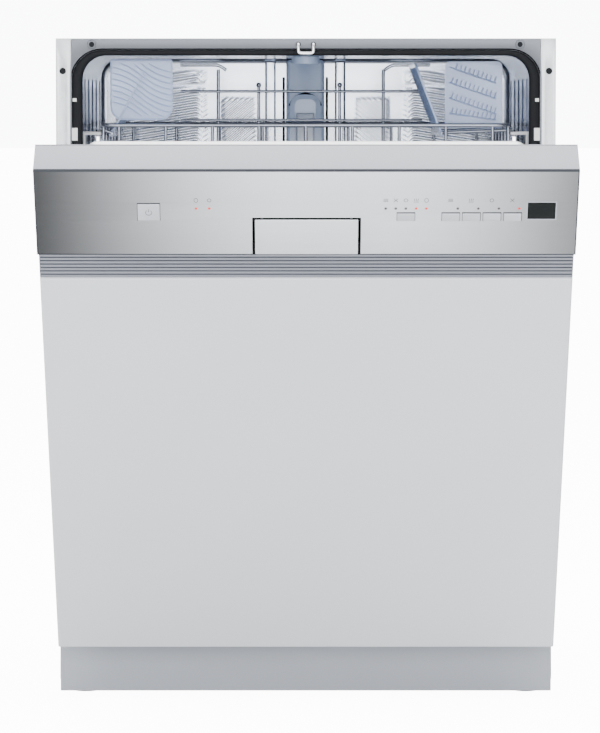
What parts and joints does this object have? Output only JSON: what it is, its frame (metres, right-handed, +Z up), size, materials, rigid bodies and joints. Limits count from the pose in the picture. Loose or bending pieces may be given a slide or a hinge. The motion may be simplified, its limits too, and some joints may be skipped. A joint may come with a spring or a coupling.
{
  "type": "dishwasher",
  "caption": "Built in dishwasher with a drop-down door, brushed console with handle flap and keys, steel tub, wire racks, spray arms and a plastic base.",
  "frame": {"origin": "floor level, middle of the width, in the plane of the cabinet's front flanges", "axes": "+Z up, -Y out of the front, +X to the viewer's right when facing the door"},
  "size_m": [0.598, 0.9735, 0.798],
  "materials": {
    "galvanised": "galvanised sheet, faint spangle",
    "tub_steel": "bright stainless sheet",
    "chrome_wire": "polished steel wire",
    "seal_rubber": "black moulded rubber",
    "felt": "bitumen backed felt",
    "base_plastic": "dark moulded plastic",
    "plinth_paint": "grey satin paint",
    "white_plastic": "white moulded plastic",
    "grey_plastic": "grey moulded plastic",
    "duct_plastic": "translucent blue plastic",
    "door_paint": "light grey enamel",
    "trim_plastic": "light grey moulded plastic",
    "fascia_steel": "horizontally brushed stainless",
    "button_metal": "metallised plastic",
    "ridged_aluminium": "anodised ribbed extrusion",
    "display_glass": "dark tinted window",
    "circuit_board": "green board",
    "rack_wire": "nylon coated grey wire"
  },
  "bodies": {
    "cabinet": {"side_panels": "galvanised", "tub_front_frame": "tub_steel", "tub_gasket": "seal_rubber", "striker_loop": "chrome_wire", "tub_side_walls": "tub_steel", "tub_roof": "tub_steel", "tub_back_wall": "tub_steel", "tub_floor": "tub_steel", "insulation_mats": "felt", "top_braces": "galvanised", "rear_panel": "galvanised", "base_tray": "base_plastic", "tub_supports": "base_plastic", "plinth": "plinth_paint", "sump": "white_plastic", "water_softener": "white_plastic", "circulation_pump": "base_plastic", "drain_pump": "base_plastic", "inlet_valve": "white_plastic", "drain_spigot": "grey_plastic", "cord_gland": "base_plastic", "water_duct": "duct_plastic", "hinge_brackets": "galvanised", "rail_guides": "white_plastic"},
    "front_left_foot": {"levelling_foot_front_left": "base_plastic"},
    "front_right_foot": {"levelling_foot_front_right": "base_plastic"},
    "rear_foot": {"levelling_foot_rear": "base_plastic"},
    "filter": {"filter_cylinder": "grey_plastic"},
    "salt_cap": {"salt_cap": "grey_plastic"},
    "door": {"hinge_arms": "galvanised", "door_panel": "door_paint", "door_liner": "tub_steel", "ridged_strip": "ridged_aluminium", "fascia": "fascia_steel", "display_and_lenses": "display_glass", "console_trim": "trim_plastic", "control_board": "circuit_board", "handle_and_latch_housing": "white_plastic", "dispenser_body": "white_plastic", "door_seal": "seal_rubber"},
    "power_button": {"power_button": "button_metal"},
    "program_button": {"program_button": "button_metal"},
    "option_button_1": {"option_button_1": "button_metal"},
    "option_button_2": {"option_button_2": "button_metal"},
    "option_button_3": {"option_button_3": "button_metal"},
    "option_button_4": {"option_button_4": "button_metal"},
    "handle_flap": {"handle_flap": "fascia_steel"},
    "latch_hook": {"latch_hook": "grey_plastic"},
    "detergent_lid": {"detergent_lid": "white_plastic"},
    "rinse_cap": {"rinse_cap": "grey_plastic"},
    "upper_rack": {"upper_rack": "rack_wire"},
    "upper_spray_arm": {"upper_spray_arm": "grey_plastic"},
    "cup_shelf_left": {"cup_shelf_left": "duct_plastic"},
    "cup_shelf_right": {"cup_shelf_right": "duct_plastic"},
    "rail_rollers": {"rail_rollers": "white_plastic"},
    "lower_rack": {"lower_rack": "rack_wire"},
    "front_wheels": {"rack_wheels_front": "white_plastic"},
    "rear_wheels": {"rack_wheels_rear": "white_plastic"},
    "cutlery_basket": {"cutlery_basket": "grey_plastic"},
    "lower_spray_arm": {"lower_spray_arm": "grey_plastic"}
  },
  "joints": [
    {"name": "door_hinge", "type": "hinge", "parent": "cabinet", "child": "door", "pos_m": [0, -0.012, 0.1155], "axis": [1, 0, 0], "range_deg": [-34, 56]},
    {"name": "front_left_foot_screw", "type": "slide", "parent": "cabinet", "child": "front_left_foot", "axis": [0, 0, -1], "range_m": [0, 0.06]},
    {"name": "front_right_foot_screw", "type": "slide", "parent": "cabinet", "child": "front_right_foot", "axis": [0, 0, -1], "range_m": [0, 0.06]},
    {"name": "rear_foot_screw", "type": "slide", "parent": "cabinet", "child": "rear_foot", "axis": [0, 0, -1], "range_m": [0, 0.06]},
    {"name": "filter_twist", "type": "hinge", "parent": "cabinet", "child": "filter", "pos_m": [0, 0.25, 0.1], "axis": [0, 0, 1], "range_deg": [0, 90]},
    {"name": "salt_cap_twist", "type": "hinge", "parent": "cabinet", "child": "salt_cap", "pos_m": [-0.175, 0.19, 0.15], "axis": [0, 0, 1], "range_deg": [0, 120]},
    {"name": "power_press", "type": "slide", "parent": "door", "child": "power_button", "axis": [0, 0.829, 0.5592], "range_m": [0, 0.003], "stiffness_N_per_m": 400, "springref_m": -0.001},
    {"name": "program_press", "type": "slide", "parent": "door", "child": "program_button", "axis": [0, 0.829, 0.5592], "range_m": [0, 0.0015], "stiffness_N_per_m": 600, "springref_m": -0.0005},
    {"name": "option_1_press", "type": "slide", "parent": "door", "child": "option_button_1", "axis": [0, 0.829, 0.5592], "range_m": [0, 0.0015], "stiffness_N_per_m": 600, "springref_m": -0.0005},
    {"name": "option_2_press", "type": "slide", "parent": "door", "child": "option_button_2", "axis": [0, 0.829, 0.5592], "range_m": [0, 0.0015], "stiffness_N_per_m": 600, "springref_m": -0.0005},
    {"name": "option_3_press", "type": "slide", "parent": "door", "child": "option_button_3", "axis": [0, 0.829, 0.5592], "range_m": [0, 0.0015], "stiffness_N_per_m": 600, "springref_m": -0.0005},
    {"name": "option_4_press", "type": "slide", "parent": "door", "child": "option_button_4", "axis": [0, 0.829, 0.5592], "range_m": [0, 0.0015], "stiffness_N_per_m": 600, "springref_m": -0.0005},
    {"name": "flap_hinge", "type": "hinge", "parent": "door", "child": "handle_flap", "pos_m": [0.0002, -0.38679, 0.59246], "axis": [1, 0, 0], "range_deg": [0, 24], "stiffness_Nm_per_rad": 0.3, "springref_deg": -17.19},
    {"name": "latch_pivot", "type": "hinge", "parent": "door", "child": "latch_hook", "pos_m": [0, -0.38635, 0.6544], "axis": [1, 0, 0], "range_deg": [0, 24]},
    {"name": "detergent_lid_hinge", "type": "hinge", "parent": "door", "child": "detergent_lid", "pos_m": [-0.03, -0.20542, 0.41746], "axis": [1, 0, 0], "range_deg": [0, 95]},
    {"name": "rinse_cap_twist", "type": "hinge", "parent": "door", "child": "rinse_cap", "pos_m": [0.048, -0.18041, 0.38127], "axis": [0, 0.829, 0.5592], "range_deg": [0, 90]},
    {"name": "upper_rack_slide", "type": "slide", "parent": "cabinet", "child": "upper_rack", "axis": [0, -1, 0], "range_m": [0, 0.2]},
    {"name": "upper_arm_spin", "type": "hinge", "parent": "upper_rack", "child": "upper_spray_arm", "pos_m": [0, 0.25, 0.57], "axis": [0, 0, 1], "continuous": true},
    {"name": "left_shelf_fold", "type": "hinge", "parent": "upper_rack", "child": "cup_shelf_left", "pos_m": [-0.2355, 0.15, 0.684], "axis": [0, 1, 0], "range_deg": [0, 60]},
    {"name": "right_shelf_fold", "type": "hinge", "parent": "upper_rack", "child": "cup_shelf_right", "pos_m": [0.165, 0.15, 0.684], "axis": [0, -1, 0], "range_deg": [-20, 60]},
    {"name": "rail_roller_turn", "type": "hinge", "parent": "cabinet", "child": "rail_rollers", "pos_m": [-0.25, 0.062, 0.6597], "axis": [1, 0, 0], "range_deg": [0, 1600]},
    {"name": "lower_rack_slide", "type": "slide", "parent": "cabinet", "child": "lower_rack", "axis": [0, -1, 0], "range_m": [0, 0.045]},
    {"name": "front_wheel_turn", "type": "hinge", "parent": "lower_rack", "child": "front_wheels", "pos_m": [0.25, 0.094, 0.164], "axis": [1, 0, 0], "range_deg": [0, 180]},
    {"name": "rear_wheel_turn", "type": "hinge", "parent": "lower_rack", "child": "rear_wheels", "pos_m": [0.25, 0.4, 0.164], "axis": [1, 0, 0], "range_deg": [0, 180]},
    {"name": "cutlery_basket_lift", "type": "slide", "parent": "lower_rack", "child": "cutlery_basket", "axis": [0, 0, 1], "range_m": [0, 0.12]},
    {"name": "lower_arm_spin", "type": "hinge", "parent": "cabinet", "child": "lower_spray_arm", "pos_m": [0, 0.25, 0.17], "axis": [0, 0, 1], "continuous": true}
  ],
  "couplings": [
    {"joint": "latch_pivot", "follows": "flap_hinge", "ratio": 1},
    {"joint": "rail_roller_turn", "follows": "upper_rack_slide", "rad_per_m": 125},
    {"joint": "front_wheel_turn", "follows": "lower_rack_slide", "rad_per_m": 56.497},
    {"joint": "rear_wheel_turn", "follows": "lower_rack_slide", "rad_per_m": 56.497}
  ]
}
